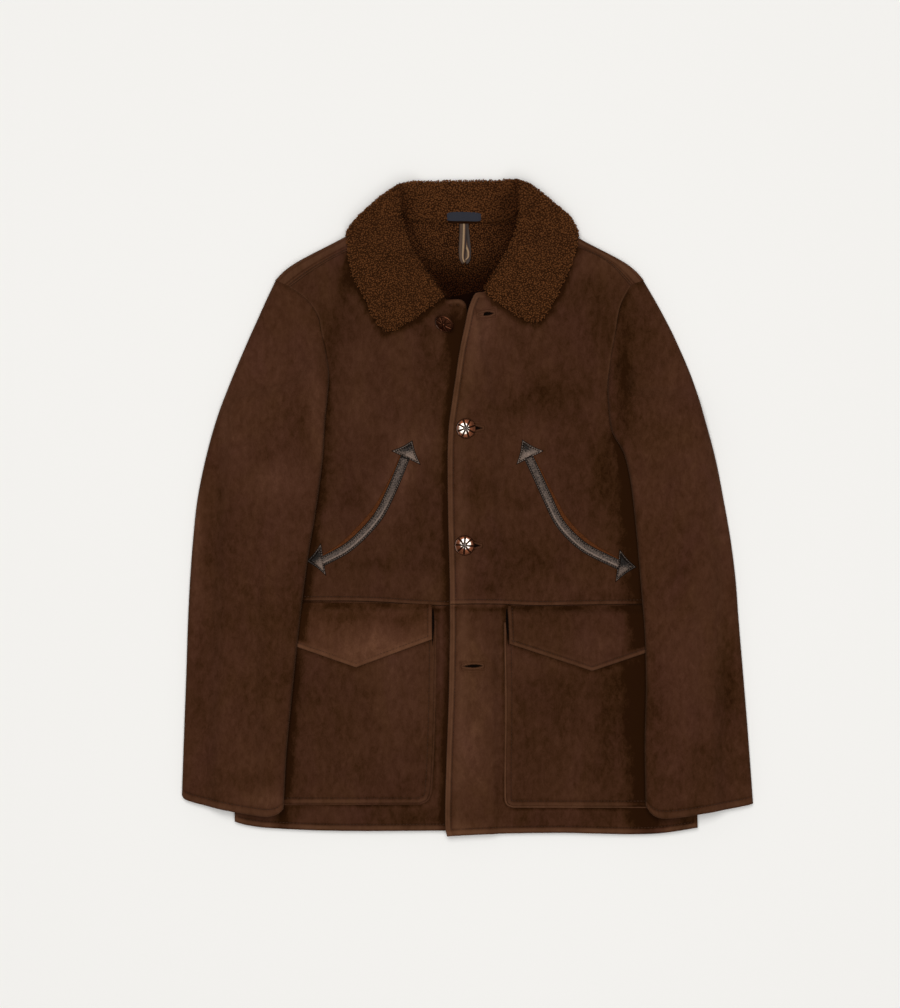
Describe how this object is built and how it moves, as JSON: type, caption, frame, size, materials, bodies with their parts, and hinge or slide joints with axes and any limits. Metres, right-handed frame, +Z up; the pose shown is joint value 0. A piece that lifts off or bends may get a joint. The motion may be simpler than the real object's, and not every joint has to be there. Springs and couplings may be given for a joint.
{
  "type": "shearling coat",
  "caption": "Hip-length shearling coat laid flat, suede outside, wide wool collar, metal buttons, curved welts and flapped patch pockets.",
  "frame": {"origin": "on the surface the coat lies on, under the middle of its outline", "axes": "+Z up out of the surface, +Y towards the collar, +X towards the wearer's left sleeve"},
  "size_m": [0.6864, 0.7881, 0.031],
  "materials": {
    "suede": "dark brown suede, napped",
    "shearling_wool": "curly brown wool on the skin",
    "grained_leather": "grained, half matt",
    "tan_leather": "smooth, half matt",
    "button_metal": "aged bronze with a silvery dome",
    "loop_leather": "brown with a pale stripe",
    "label_cloth": "navy woven cloth, left bare"
  },
  "bodies": {
    "root": {"back": "suede", "front_upper_right": "suede", "front_upper_left": "suede", "front_lower_right": "suede", "front_lower_left": "suede", "sleeve_right": "suede", "sleeve_left": "suede", "pocket_right": "suede", "pocket_left": "suede", "flap_right": "suede", "flap_left": "suede", "collar": "shearling_wool", "welt_right": "grained_leather", "welt_left": "grained_leather", "arrowhead_right_upper": "grained_leather", "arrowhead_right_lower": "grained_leather", "arrowhead_left_upper": "grained_leather", "arrowhead_left_lower": "grained_leather", "lip_right": "tan_leather", "lip_left": "tan_leather", "button_1": "button_metal", "button_2": "button_metal", "button_3": "button_metal", "button_4": "button_metal", "hanging_loop": "loop_leather", "label": "label_cloth"}
  },
  "joints": []
}
